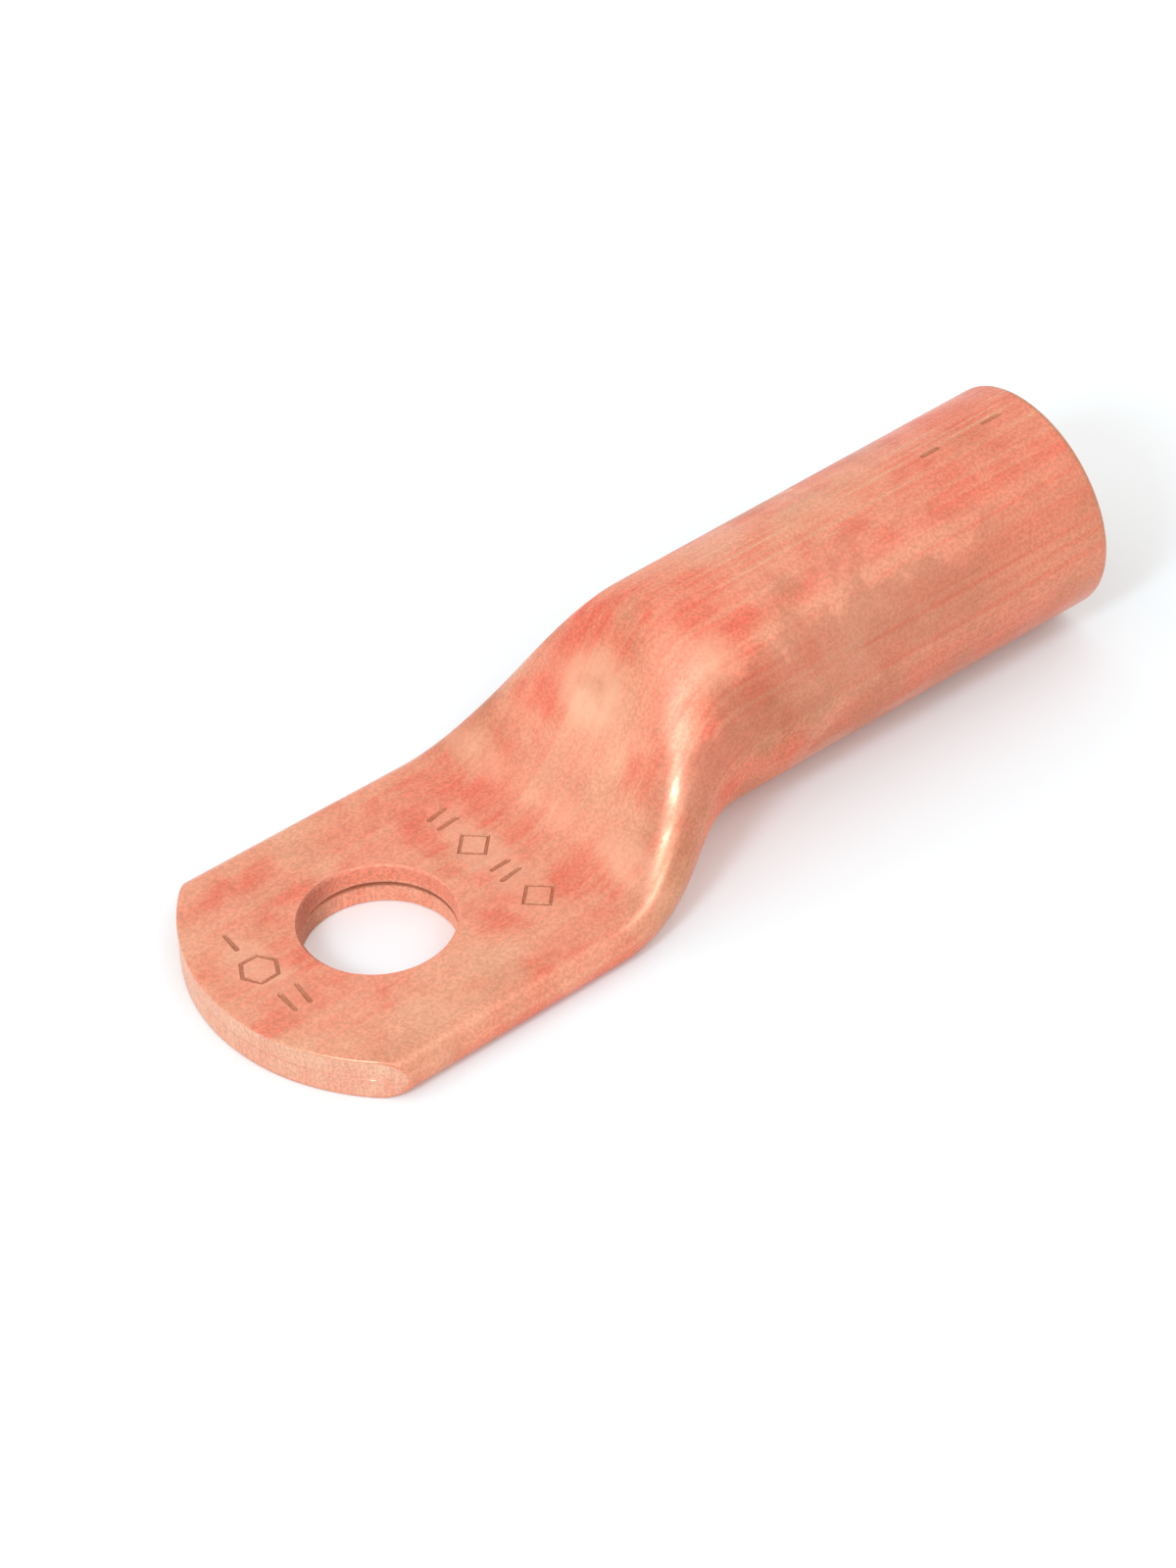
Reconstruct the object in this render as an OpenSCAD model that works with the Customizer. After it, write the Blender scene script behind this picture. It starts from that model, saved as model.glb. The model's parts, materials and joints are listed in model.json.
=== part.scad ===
// Tubular copper cable lug, made from one length of round tube. One end stays round and takes
// the stripped cable. The other end is pressed flat, sheared to an arc and drilled for a stud.
// Millimetres. +X runs from the palm to the barrel's mouth and +Z is up. The origin is the
// centre of the stud hole on the underside of the palm, the face that is bolted down.

/* [Tube] */
// Outside diameter of the tube
barrel_od = 16.5; // [14:0.1:19]
// Thickness of the tube's wall
wall = 1.6; // [1.2:0.05:2.4]
// Length of tube that stays round for the crimp
barrel_len = 31.3; // [20:0.1:60]

/* [Palm] */
// Thickness of the palm, which is two walls pressed together
palm_t = 3.2; // [2.4:0.1:4.8]
// From the stud hole's centre to the end of the palm
hole_to_tip = 12.7; // [9:0.1:14.5]
// From the stud hole's centre to the foot of the ramp
hole_to_ramp = 11; // [9:0.1:25]
// Radius of the arc that the palm's end is sheared to
tip_r = 15.6; // [15.5:0.1:25]
// Width that the press adds to the palm towards its end
palm_spread = 0.7; // [0:0.1:2]

/* [Stud hole] */
// Diameter of the stud hole
hole_d = 10.5; // [5.3:0.1:13]
// Depth of the broken edge at both rims of the stud hole
hole_edge = 0.2; // [0.05:0.05:0.5]

/* [Ramp] */
// Length of the ramp from the palm up to the round tube
ramp_len = 14.4; // [10:0.1:25]
// Share of the ramp that its hollow bend at the palm takes
foot_share = 0.54; // [0.2:0.01:0.6]
// Share of the ramp that its rounded bend at the barrel takes
crown_share = 0.36; // [0.2:0.01:0.4]

/* [Barrel mouth] */
// Rounding of the mouth's outer edge
lip_r = 0.4; // [0.1:0.05:0.5]
// Depth of the lead-in that guides the cable's strands into the bore
lead_in = 0.5; // [0.1:0.05:0.6]

/* [Hidden] */
$fn = 96;

// Facets around each half of a tube section, and steps along the ramp, outside and inside
ARC_STEPS = 30;
RAMP_STEPS = 32;
CAVITY_STEPS = 18;
// Where a skin meets the true cylinder that takes over from it, it stands this far outside it
SWELL = 0.01;
// It then runs on by this length and dives into the cylinder by this depth, to cross it cleanly
RUN_ON = 1;
DIVE = 0.3;
// How far a cutter passes the surface that it opens
CLEAR = 1;
// Height of the slit at which the two walls count as pressed shut
SHUT = 0.3;

barrel_r = barrel_od / 2;
bore_r = barrel_r - wall;
hole_r = hole_d / 2;
barrel_z = barrel_r + SWELL;
ramp_end = hole_to_ramp + ramp_len;
tip_centre = tip_r - hole_to_tip;

// Slope of the straight stretch between bends of shares a and b, for a rise of 1 over 1
function mid_slope(a, b) = 2 / (2 - a - b);

// Rise from 0 to 1 as t goes from 0 to 1: a parabola over a, a straight slope, a parabola over b
function rise(t, a, b) =
    t < a ? mid_slope(a, b) * t * t / (2 * a) :
    t > 1 - b ? 1 - mid_slope(a, b) * (1 - t) * (1 - t) / (2 * b) :
    mid_slope(a, b) * (t - a / 2);

// Half the height of the squeezed tube where the ramp has risen by e
function half_h(e) = palm_t / 2 + (barrel_r - palm_t / 2) * e;

// One wall's thickness there: half of the palm at the foot, the tube's own wall at the barrel
function wall_at(e) = palm_t / 2 + (wall - palm_t / 2) * e;

// Half of the flat that the press leaves on a tube of half height r: its girth stays the same
function flat_half(r) = PI * (barrel_r - r) / 2;

// Share of the ramp at which its inside has opened to the height SHUT
shut_share = sqrt(foot_share * SHUT / (mid_slope(foot_share, crown_share) * bore_r));

// Section across x: half circles of radius r at height z, set a distance f out to either side.
// Their facets touch the true circles from outside, so that heights and widths are exact.
function section(x, f, r, z) = [
    for (side = [1, -1])
        for (k = [0.5:ARC_STEPS])
            let (a = 180 * k / ARC_STEPS - 90, corner_r = r / cos(90 / ARC_STEPS))
                [x, side * (f + corner_r * cos(a)), z + side * corner_r * sin(a)]
];

// Section of the squeezed tube where the ramp has risen by e, inset by one wall if inner is 1
function squeezed(x, e, inner) =
    section(x, flat_half(half_h(e)), half_h(e) + SWELL * e - inner * wall_at(e), half_h(e) + SWELL * e);

// Squeezed sections from the share t0 of the ramp to its end, and one that dives on past it
function squeezed_run(t0, steps, inner) = concat(
    [
        for (i = [0:steps])
            let (t = t0 + (1 - t0) * i / steps)
                squeezed(hole_to_ramp + ramp_len * t, rise(t, foot_share, crown_share), inner)
    ],
    [section(ramp_end + RUN_ON, 0, barrel_r - inner * wall - DIVE, barrel_z)]
);

// Closed solid over a list of rings that all have the same number of points
module skin(rings) {
    around = len(rings[0]);
    last = len(rings) - 1;
    first_cap = [for (j = [0:around - 1]) j];
    last_cap = [for (j = [around - 1:-1:0]) last * around + j];
    sides = [
        for (i = [0:last - 1])
            for (j = [0:around - 1])
                let (a = i * around, b = a + around, k = (j + 1) % around)
                    [a + j, b + j, b + k, a + k]
    ];
    polyhedron(
        points = [for (ring = rings) each ring],
        faces = concat([first_cap, last_cap], sides),
        convexity = 6
    );
}

// Palm and ramp in one skin, from beyond the palm's tip to just inside the round barrel
module pressed_end() {
    half_t = palm_t / 2;
    beyond_tip = section(-hole_to_tip - CLEAR, flat_half(half_t) + palm_spread / 2, half_t, half_t);
    skin(concat([beyond_tip], squeezed_run(0, RAMP_STEPS, 0)));
}

// What the shear takes off: everything beyond an arc across the palm's end
module tip_offcut() {
    far = hole_to_tip + 2 * CLEAR;
    half_w = flat_half(palm_t / 2) + palm_spread + palm_t;
    translate([0, 0, -CLEAR])
        linear_extrude(palm_t + 2 * CLEAR)
            difference() {
                translate([-far, -half_w])
                    square([far + tip_centre, 2 * half_w]);
                translate([tip_centre, 0])
                    circle(r = tip_r);
            }
}

// Stud hole through the palm, with both rims broken at 45 degrees
module stud_hole() {
    translate([0, 0, -CLEAR])
        cylinder(r = hole_r, h = palm_t + 2 * CLEAR);
    for (top = [0, 1])
        translate([0, 0, top * palm_t])
            mirror([0, 0, top])
                translate([0, 0, -CLEAR])
                    cylinder(r1 = hole_r + hole_edge + CLEAR, r2 = hole_r, h = hole_edge + CLEAR);
}

// Half section of the round tube, filled in: radius across, length along
module barrel_profile() {
    difference() {
        square([barrel_r, barrel_len]);
        translate([barrel_r - lip_r, barrel_len - lip_r])
            difference() {
                square(lip_r + CLEAR);
                circle(r = lip_r);
            }
    }
}

// Lays what is drawn about +Z along the barrel's axis, starting where the round tube starts
module on_barrel_axis() {
    translate([ramp_end, 0, barrel_z])
        rotate([0, 90, 0])
            children();
}

// Cable bore with its lead-in, and the inside of the ramp behind it
module cable_bore() {
    on_barrel_axis()
        cylinder(r = bore_r, h = barrel_len + CLEAR);
    on_barrel_axis()
        translate([0, 0, barrel_len - lead_in])
            cylinder(r1 = bore_r, r2 = bore_r + lead_in + CLEAR, h = lead_in + CLEAR);
    skin(squeezed_run(shut_share, CAVITY_STEPS, 1));
}

module cable_lug() {
    color([0.86, 0.50, 0.38])
        difference() {
            union() {
                pressed_end();
                on_barrel_axis()
                    rotate_extrude()
                        barrel_profile();
            }
            tip_offcut();
            stud_hole();
            cable_bore();
        }
}

cable_lug();
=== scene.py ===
# %% [markdown]
# # Dressing a copper cable lug
#
# A tubular cable lug is one piece of soft copper tube. One end stays round and takes the cable.
# The other is pressed flat, cropped to an arc and punched for a stud. This lesson gives the plain
# solid the surface of the real piece: softened folds, sheared faces, drawing lines and annealed
# copper. The solid is a fixed frame: everything below is placed from it and never moves it.

# %% Load the fixed frame
import json
from math import cos, hypot, pi, radians, sin, sqrt

import bmesh
import bpy
from mathutils import Matrix, Quaternion, Vector


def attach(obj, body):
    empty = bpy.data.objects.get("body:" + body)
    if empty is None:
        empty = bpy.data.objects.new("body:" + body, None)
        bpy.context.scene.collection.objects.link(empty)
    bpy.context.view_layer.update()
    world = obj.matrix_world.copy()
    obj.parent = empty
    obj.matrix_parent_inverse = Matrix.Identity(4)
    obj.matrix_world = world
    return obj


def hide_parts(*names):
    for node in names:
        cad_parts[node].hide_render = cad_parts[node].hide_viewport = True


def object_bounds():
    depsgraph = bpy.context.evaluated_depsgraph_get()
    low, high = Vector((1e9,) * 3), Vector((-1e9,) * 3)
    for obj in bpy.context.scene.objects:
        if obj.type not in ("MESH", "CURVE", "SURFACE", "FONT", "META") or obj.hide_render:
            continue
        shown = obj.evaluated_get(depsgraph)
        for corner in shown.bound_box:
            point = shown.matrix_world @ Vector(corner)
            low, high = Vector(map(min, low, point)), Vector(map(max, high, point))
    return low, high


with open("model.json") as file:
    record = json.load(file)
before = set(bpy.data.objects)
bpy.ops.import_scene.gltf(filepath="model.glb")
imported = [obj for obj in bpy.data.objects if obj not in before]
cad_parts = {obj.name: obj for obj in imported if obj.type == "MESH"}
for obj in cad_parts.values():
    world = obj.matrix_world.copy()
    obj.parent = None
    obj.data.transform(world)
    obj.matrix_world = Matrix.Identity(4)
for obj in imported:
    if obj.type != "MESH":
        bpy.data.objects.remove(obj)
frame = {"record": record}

cad_low, cad_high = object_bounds()


def shown(point):
    """A point as it is printed."""
    return tuple(round(value, 5) for value in point)


print("the solid reaches from", shown(cad_low), "to", shown(cad_high))

# %% [markdown]
# ## Sizes
#
# Lengths are in millimetres while the shape is worked out, as on a drawing, and become metres when
# the mesh is made. The frame holds the size of the hole, the bore and the palm, and how far the
# piece reaches, so those are read from it. What it doesn't hold, such as where the ramp starts and
# how its curve is shared out, is named here.

# %% Read what the frame knows
MM = 0.001
mounts = {mount["name"]: mount for mount in frame["record"]["mounts"]}
hole_r = mounts["stud_hole"]["dims"]["r_mm"]
bore_r = mounts["barrel_bore"]["dims"]["r_mm"]
palm_t = mounts["palm_top"]["pos_m"][2] / MM
hole_to_tip = -cad_low.x / MM
mouth_x = cad_high.x / MM
print(f"hole {2 * hole_r:.2f} and bore {2 * bore_r:.2f} mm across, palm {palm_t:.2f} mm thick")
print(f"the hole's centre is {hole_to_tip:.2f} mm from the tip and {mouth_x:.2f} mm from the mouth")

# %% Name what it doesn't
wall = 1.6            # the tube's wall
ramp_foot = 11.0      # where the palm starts to rise, from the hole's centre
ramp_len = 14.4       # from the palm up to the full round
foot_share = 0.54     # the part of the ramp that curves up out of the palm
crown_share = 0.36    # the part that curves over into the barrel
tip_r = 15.6          # the arc that the end is cropped to
palm_spread = 0.7     # how much wider the palm is past its end than at the ramp
spread_run_on = 1.0   # how far past the end that width is measured
hole_edge = 0.2       # the punched hole's eased edges
lip_r = 0.4           # the mouth's outer round
lead_in = 0.5         # the mouth's inner chamfer

# %% Work out the rest
barrel_r = bore_r + wall
ramp_top = ramp_foot + ramp_len
tip_centre = tip_r - hole_to_tip
quarter_girth = pi * barrel_r / 2
print(f"barrel {2 * barrel_r:.2f} mm across, a quarter of its girth {quarter_girth:.2f} mm")

# %% [markdown]
# ## How a pressed tube keeps its girth
#
# A press bends the wall but hardly stretches it. Each cross-section is the same loop of metal,
# squeezed into two straight runs joined by two half rounds: as it gets lower, it gets wider by
# exactly what the half rounds give up. That one law gives the ramp its flare, with no extra sizes.
#
# It also gives every point of the skin an address that lasts through the pressing: how far round
# the tube it is from the top. Rings built from the same shares of the girth stay in step from the
# barrel to the palm, so the mesh flows as the metal did.

# %% The rise of the ramp and the section that goes with it
def rise(share):
    """How far up the ramp the section is, 0 to 1, at a share of its length: curve, straight, curve."""
    slope = 2 / (2 - foot_share - crown_share)
    if share < foot_share:
        return slope * share * share / (2 * foot_share)
    if share > 1 - crown_share:
        return 1 - slope * (1 - share) ** 2 / (2 * crown_share)
    return slope * (share - foot_share / 2)


def pressed_at(share):
    """(half the height, wall) of the section at a share of the ramp."""
    risen = rise(share)
    return palm_t / 2 + (barrel_r - palm_t / 2) * risen, palm_t / 2 + (wall - palm_t / 2) * risen


def on_section(walked, half_height, depth):
    """(y, z from the mid-height) of the point that far round from the top, that deep in the wall."""
    flat = pi * (barrel_r - half_height) / 2
    if walked <= flat:
        return walked, half_height - depth
    angle = (walked - flat) / half_height
    return flat + (half_height - depth) * sin(angle), (half_height - depth) * cos(angle)


flat_at_foot = pi * (barrel_r - palm_t / 2) / 2
print(f"the palm at the ramp is {2 * flat_at_foot + palm_t:.2f} mm wide, from a {2 * barrel_r:.1f} mm tube")

# %% [markdown]
# ## A basket of patches
#
# The skin is laid as patches of four-sided faces, each a grid of rows. Neighbouring patches compute
# their shared border from the same formula, so afterwards one weld joins them into a closed skin.
# Each corner also keeps its place on the tube as it was drawn, before the press: the drawing lines
# are scratched along that tube, so the finish has to follow it through the fold.

# %% The patch basket
DRAWN, SHEARED, STAMPED, BORE, PUNCHED = range(5)
patch_faces = []


def tube_place(x, walked, left):
    """Where a point of the skin sat on the round tube, in millimetres."""
    angle = -walked / barrel_r if left else walked / barrel_r
    return x, barrel_r * sin(angle), barrel_r * cos(angle)


def lay_patch(rows, finish, closed=False):
    """Adds the faces between rows of (point, tube place) pairs."""
    for upper, lower in zip(rows, rows[1:]):
        count = len(upper)
        for i in range(count if closed else count - 1):
            j = (i + 1) % count
            patch_faces.append(((upper[i], upper[j], lower[j], lower[i]), finish))


# %% [markdown]
# ## The tube skin: ramp, barrel, mouth, bore and cavity
#
# One ring of points is swept from the ramp's foot up to the barrel, over the rounded lip, in
# through the chamfer and back down the bore to where the two walls meet. The inside is the same
# ring, one wall deeper. Each quarter of it has more points where the palm's half round will be, so
# that the tight fold at the ramp's foot is as smooth as the wide barrel.

# %% Ring shares
FLAT_STEPS, FOLD_STEPS = 24, 12
flat_share = flat_at_foot / quarter_girth
quarter_shares = [flat_share * i / FLAT_STEPS for i in range(FLAT_STEPS)]
quarter_shares += [flat_share + (1 - flat_share) * i / FOLD_STEPS for i in range(FOLD_STEPS + 1)]
half_ring = [s * quarter_girth for s in quarter_shares]
half_ring += [2 * quarter_girth - w for w in reversed(half_ring[:-1])]
ring_address = [(w, False) for w in half_ring] + [(w, True) for w in reversed(half_ring[1:-1])]
print(len(ring_address), "points in a ring")


def ring(x, half_height, depth):
    """One closed row of the tube skin, on a section that rests on the ground."""
    row = []
    for walked, left in ring_address:
        over = walked > quarter_girth
        y, z = on_section(2 * quarter_girth - walked if over else walked, half_height, depth)
        point = (x, -y if left else y, half_height - z if over else half_height + z)
        row.append((point, tube_place(x, walked, left)))
    return row


# %% Sweep the outside, from the palm to the mouth
RAMP_ROWS, BARREL_ROWS, LIP_ROWS = 64, 20, 6
outside = []
for i in range(RAMP_ROWS + 1):
    share = i / RAMP_ROWS
    half_height, _ = pressed_at(share)
    outside.append(ring(ramp_foot + ramp_len * share, half_height, 0))
for i in range(1, BARREL_ROWS + 1):
    outside.append(ring(ramp_top + (mouth_x - lip_r - ramp_top) * i / BARREL_ROWS, barrel_r, 0))
for i in range(1, LIP_ROWS + 1):
    turn = pi / 2 * i / LIP_ROWS
    outside.append(ring(mouth_x - lip_r + lip_r * sin(turn), barrel_r, lip_r * (1 - cos(turn))))
lay_patch(outside, DRAWN, closed=True)
print("outside:", len(outside), "rings")

# %% Turn in at the mouth
BORDER_ROW = 0.06     # an extra row this close to each edge keeps the ring's face flat to the light
mouth_depths = [lip_r, lip_r + BORDER_ROW, wall - lead_in - BORDER_ROW, wall - lead_in]
mouth = [ring(mouth_x, barrel_r, depth) for depth in mouth_depths]
mouth.append(ring(mouth_x - lead_in, barrel_r, wall))
lay_patch(mouth, SHEARED, closed=True)
print("mouth:", len(mouth), "rings")

# %% Sweep the inside, back to where the walls meet
BORE_ROWS, CAVITY_ROWS = 12, 26
SHUT_GAP = 0.05       # where the pressed walls are this close, they touch
SHUT_RUN = 0.9        # the last ring closes the cavity at this part of the way to the ramp's foot
shut_share = sqrt(SHUT_GAP * foot_share * (2 - foot_share - crown_share) / bore_r)
bore_end = mouth_x - lead_in
inside = []
for i in range(BORE_ROWS + 1):
    inside.append(ring(bore_end + (ramp_top - bore_end) * i / BORE_ROWS, barrel_r, wall))
for i in range(1, CAVITY_ROWS + 1):
    share = 1 - (1 - shut_share) * i / CAVITY_ROWS
    half_height, thick = pressed_at(share)
    inside.append(ring(ramp_foot + ramp_len * share, half_height, thick))
inside.append(ring(ramp_foot + ramp_len * shut_share * SHUT_RUN, half_height, half_height))
lay_patch(inside, BORE, closed=True)
print("inside:", len(inside), f"rings; the walls meet {ramp_len * shut_share:.2f} mm past the ramp's foot")

# %% [markdown]
# ## The palm's edge
#
# The palm's long sides are the tube's own folds: full half rounds, a little further apart towards
# the end, where the press spread the metal. The end is cropped straight down by a die, so its face
# is a piece of an upright cylinder. A small curve from the skin to the face, pulled towards the
# true corner, gives that edge its thin line of light.

# %% Points along the fold and the cropped end
EDGE_ROUND = 0.16     # how far back from the corner the crisp edge starts to turn
SIDE_ROWS, END_STEPS, EDGE_ROWS = 40, 80, 4
NEAR = 1e-9           # lengths that differ by less are the same length
fold_r = palm_t / 2


def fold_y(x):
    """Half the width of the palm's flat at x."""
    return flat_at_foot + palm_spread / 2 * (ramp_foot - x) / (ramp_foot + hole_to_tip + spread_run_on)


def end_x(y):
    """Where the die cut across, at that y."""
    return tip_centre - sqrt(tip_r * tip_r - y * y)


def fold_end(angle, depth=0):
    """(x, y) where the fold's point at this angle from the top, that deep, meets the cut."""
    x = -hole_to_tip
    for _ in range(12):
        y = fold_y(x) + (fold_r - depth) * sin(angle)
        x = end_x(y)
    return x, y


fold_angles = [pi * i / (2 * FOLD_STEPS) for i in range(2 * FOLD_STEPS + 1)]
corner_x, corner_y = fold_end(0)
end_ys = [corner_y * (1 - 2 * i / END_STEPS) for i in range(END_STEPS + 1)]
print(f"the cut crosses the fold line at x {corner_x:.2f}, y {corner_y:.2f}")
print(f"the end is {2 * fold_end(pi / 2)[1]:.2f} mm wide")


def palm_address(y, z_side):
    """The place on the drawn tube of a point on the palm's flats."""
    walked = abs(y) if z_side > 0 else 2 * quarter_girth - abs(y)
    return walked, y < 0


# %% The three rails of the end's edge
def rails(left):
    """Skin, corner and face rails of one side's fold, from top to bottom, as (point, walked)."""
    sign = -1 if left else 1
    skin, corner, face = [], [], []
    for angle in fold_angles:
        walked = flat_at_foot + fold_r * angle
        x, y = fold_end(angle)
        z = fold_r + fold_r * cos(angle)
        corner.append(((x, sign * y, z), walked))
        skin.append(((x + EDGE_ROUND, sign * (fold_y(x + EDGE_ROUND) + fold_r * sin(angle)), z), walked))
        x, y = fold_end(angle, EDGE_ROUND)
        face.append(((x, sign * y, fold_r + (fold_r - EDGE_ROUND) * cos(angle)), walked))
    return skin, corner, face


def flat_rails(z_side):
    """The same three rails along the top or bottom of the end, from +y to -y."""
    skin, corner, face = [], [], []
    for y in end_ys:
        x = end_x(y)
        z = palm_t if z_side > 0 else 0.0
        walked, _ = palm_address(y, z_side)
        corner.append(((x, y, z), walked))
        face.append(((x, y, z - z_side * EDGE_ROUND), walked))
        at_corner = abs(abs(y) - corner_y) < NEAR
        skin_y = y * fold_y(x + EDGE_ROUND) / corner_y if at_corner else y
        skin.append(((x + EDGE_ROUND, skin_y, z), walked))
    return skin, corner, face


# %% Curve the edge from rail to rail
def edge_rows(rail_set):
    """Rows that curve from the skin rail to the face rail, pulled towards the corner rail."""
    rows = []
    for i in range(EDGE_ROWS + 1):
        t = i / EDGE_ROWS
        row = []
        for (start, walked), (pull, _), (stop, _) in zip(*rail_set):
            steps = zip(start, pull, stop)
            point = tuple((1 - t) ** 2 * a + 2 * t * (1 - t) * b + t * t * c for a, b, c in steps)
            row.append((point, tube_place(point[0], walked, point[1] < 0)))
        rows.append(row)
    return rows


right_rails, left_rails = rails(False), rails(True)
top_rails, bottom_rails = flat_rails(1), flat_rails(-1)
for rail_set in (right_rails, left_rails, top_rails, bottom_rails):
    lay_patch(edge_rows(rail_set), DRAWN)
print("edge laid,", len(patch_faces), "faces so far")

# %% Lay the two folds from the ramp to the end
for left, (skin, _, _) in ((False, right_rails), (True, left_rails)):
    sign = -1 if left else 1
    rows = []
    for i in range(SIDE_ROWS + 1):
        row = []
        for angle, (end_point, walked) in zip(fold_angles, skin):
            x = ramp_foot + (end_point[0] - ramp_foot) * i / SIDE_ROWS
            y = sign * (fold_y(x) + fold_r * sin(angle))
            row.append(((x, y, fold_r + fold_r * cos(angle)), tube_place(x, walked, left)))
        rows.append(row)
    lay_patch(rows, DRAWN)
print("folds laid,", len(patch_faces), "faces so far")

# %% [markdown]
# ## The two flats and the punched hole
#
# A flat sheet with a round hole shades cleanly when its faces run out from the hole like spokes,
# to the points that the ramp, the folds and the end already have. One extra row close to each
# border keeps the smooth shading of the edge off the flat.
#
# The palm is two walls pressed together, and where a die cuts through them the joint shows as a
# hairline. It runs all round the hole's wall, and across the end between the two folds.

# %% The outer border of a flat, as one loop
def flat_border(z_side):
    """Border points of the top or bottom flat: ramp's foot, +y fold, cut end, -y fold."""
    z = palm_t if z_side > 0 else 0.0
    skin = (top_rails if z_side > 0 else bottom_rails)[0]
    end_at = skin[0][0][0]
    side_xs = [ramp_foot + (end_at - ramp_foot) * i / SIDE_ROWS for i in range(1, SIDE_ROWS)]
    foot_ys = [share * quarter_girth for share in quarter_shares if share <= flat_share + NEAR]
    loop = [(ramp_foot, -y) for y in reversed(foot_ys[1:])] + [(ramp_foot, y) for y in foot_ys]
    loop += [(x, fold_y(x)) for x in side_xs]
    loop += [point[:2] for point, _ in skin]
    loop += [(x, -fold_y(x)) for x in reversed(side_xs)]
    return [(x, y, z) for x, y in loop]


# %% Points on the flats and levels down the cut walls
SPOKE_SHARES = [0, 0.012, 0.07, 0.18, 0.32, 0.47, 0.62, 0.76, 0.88, 0.97, 0.99, 1]
WALL_SHARES = [1, 0.94, 0.72, 0.45, 0.2]               # of the wall's half height
SEAM_BORDER = 1.4                                      # where the row beside a seam lies, of its half height
HOLE_SEAM, HOLE_SEAM_DEPTH = 0.14, 0.28                # half the height of the joint that the punch opened
END_SEAM, END_SEAM_DEPTH = 0.04, 0.08                  # and of the one that the cropping die closed up again


def wall_levels(half, seam_half):
    """Heights from the middle, top to bottom, with a fine line at the middle."""
    seam = min(seam_half, 0.3 * half)
    upper = [share * half for share in WALL_SHARES] + [seam * SEAM_BORDER, seam]
    return upper + [0.0] + [-level for level in reversed(upper)]


def flat_point(x, y, z, z_side):
    """A point of the palm's flats with its place on the drawn tube."""
    walked, left = palm_address(y, z_side)
    return (x, y, z), tube_place(x, walked, left)


def on_circle(x, y, radius):
    """Where the line from the hole's centre to (x, y) crosses a circle about it."""
    reach = hypot(x, y)
    return x / reach * radius, y / reach * radius


# %% Spokes and rims
RIM_ROWS = 5
rims = {}
for z_side in (1, -1):
    border = flat_border(z_side)
    spokes = [on_circle(x, y, hole_r + hole_edge) for x, y, _ in border]
    rows = []
    for share in SPOKE_SHARES:
        row = []
        for (x, y, z), (rim_x, rim_y) in zip(border, spokes):
            row.append(flat_point(x + (rim_x - x) * share, y + (rim_y - y) * share, z, z_side))
        rows.append(row)
    lay_patch(rows, DRAWN, closed=True)
    rim = []
    for i in range(RIM_ROWS + 1):
        turn = pi / 2 * i / RIM_ROWS
        ring_r = hole_r + hole_edge * (1 - sin(turn))
        z = palm_t / 2 + z_side * (palm_t / 2 - hole_edge * (1 - cos(turn)))
        rim.append([flat_point(*on_circle(x, y, ring_r), z, z_side) for x, y, _ in border])
    lay_patch(rim, PUNCHED, closed=True)
    rims[z_side] = rim[-1]
print("spokes:", len(rims[1]), "round the hole")

# %% The hole's wall, with its joint line
hole_rows = []
for level in wall_levels(palm_t / 2 - hole_edge, HOLE_SEAM):
    deeper = HOLE_SEAM_DEPTH if level == 0 else 0
    row = []
    for (x, y, _), place in rims[1]:
        out = (hole_r + deeper) / hypot(x, y)
        row.append(((x * out, y * out, palm_t / 2 + level), place))
    hole_rows.append(row)
seam_row = len(hole_rows) // 2
lay_patch(hole_rows[:seam_row], PUNCHED, closed=True)
lay_patch(hole_rows[seam_row - 1:seam_row + 2], STAMPED, closed=True)
lay_patch(hole_rows[seam_row + 1:], PUNCHED, closed=True)
print("hole wall:", len(hole_rows), "rows")

# %% The cropped end's face
columns = [(right_rails[2][k][0], False) for k in range(FOLD_STEPS, 0, -1)]
columns += [(point, True) for point, _ in top_rails[2]]
columns += [(left_rails[2][k][0], False) for k in range(1, FOLD_STEPS + 1)]
end_rows = []
for i in range(len(hole_rows)):
    row = []
    for (x, y, z), on_flat in columns:
        half = z - palm_t / 2
        level = wall_levels(half, END_SEAM)[i] if half > NEAR else 0.0
        in_seam = on_flat and level == 0 and abs(abs(y) - corner_y) > NEAR
        deeper = END_SEAM_DEPTH if in_seam else 0
        row.append(((x + deeper, y, palm_t / 2 + level), tube_place(x, abs(y), y < 0)))
    end_rows.append(row)
lay_patch(end_rows, SHEARED)
print("end face:", len(columns), "columns;", len(patch_faces), "faces in all")

# %% [markdown]
# ## Weld the patches into one skin
#
# The patches become one mesh, welded where their borders meet. A closed skin has exactly two faces
# on every edge, which is easy to count and says at once whether a border was missed.

# %% Weld
WELD = 2e-7           # metres
PLACE = "drawn_place"


def build_skin(name, faces):
    """A mesh from (corners, finish) faces, with the drawn place kept on every corner."""
    bm = bmesh.new()
    place_layer = bm.loops.layers.float_vector.new(PLACE)
    for corners, finish in faces:
        face = bm.faces.new([bm.verts.new([v * MM for v in point]) for point, _ in corners])
        face.material_index = finish
        face.smooth = True
        for loop, (_, place) in zip(face.loops, corners):
            loop[place_layer] = place
    bmesh.ops.remove_doubles(bm, verts=bm.verts, dist=WELD)
    bmesh.ops.dissolve_degenerate(bm, edges=bm.edges, dist=WELD)
    bmesh.ops.recalc_face_normals(bm, faces=bm.faces)
    open_edges = sum(1 for edge in bm.edges if len(edge.link_faces) != 2)
    mesh = bpy.data.meshes.new(name)
    bm.to_mesh(mesh)
    bm.free()
    print(f"{name}: {len(mesh.polygons)} faces, {open_edges} edges that aren't between two faces")
    return mesh


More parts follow.
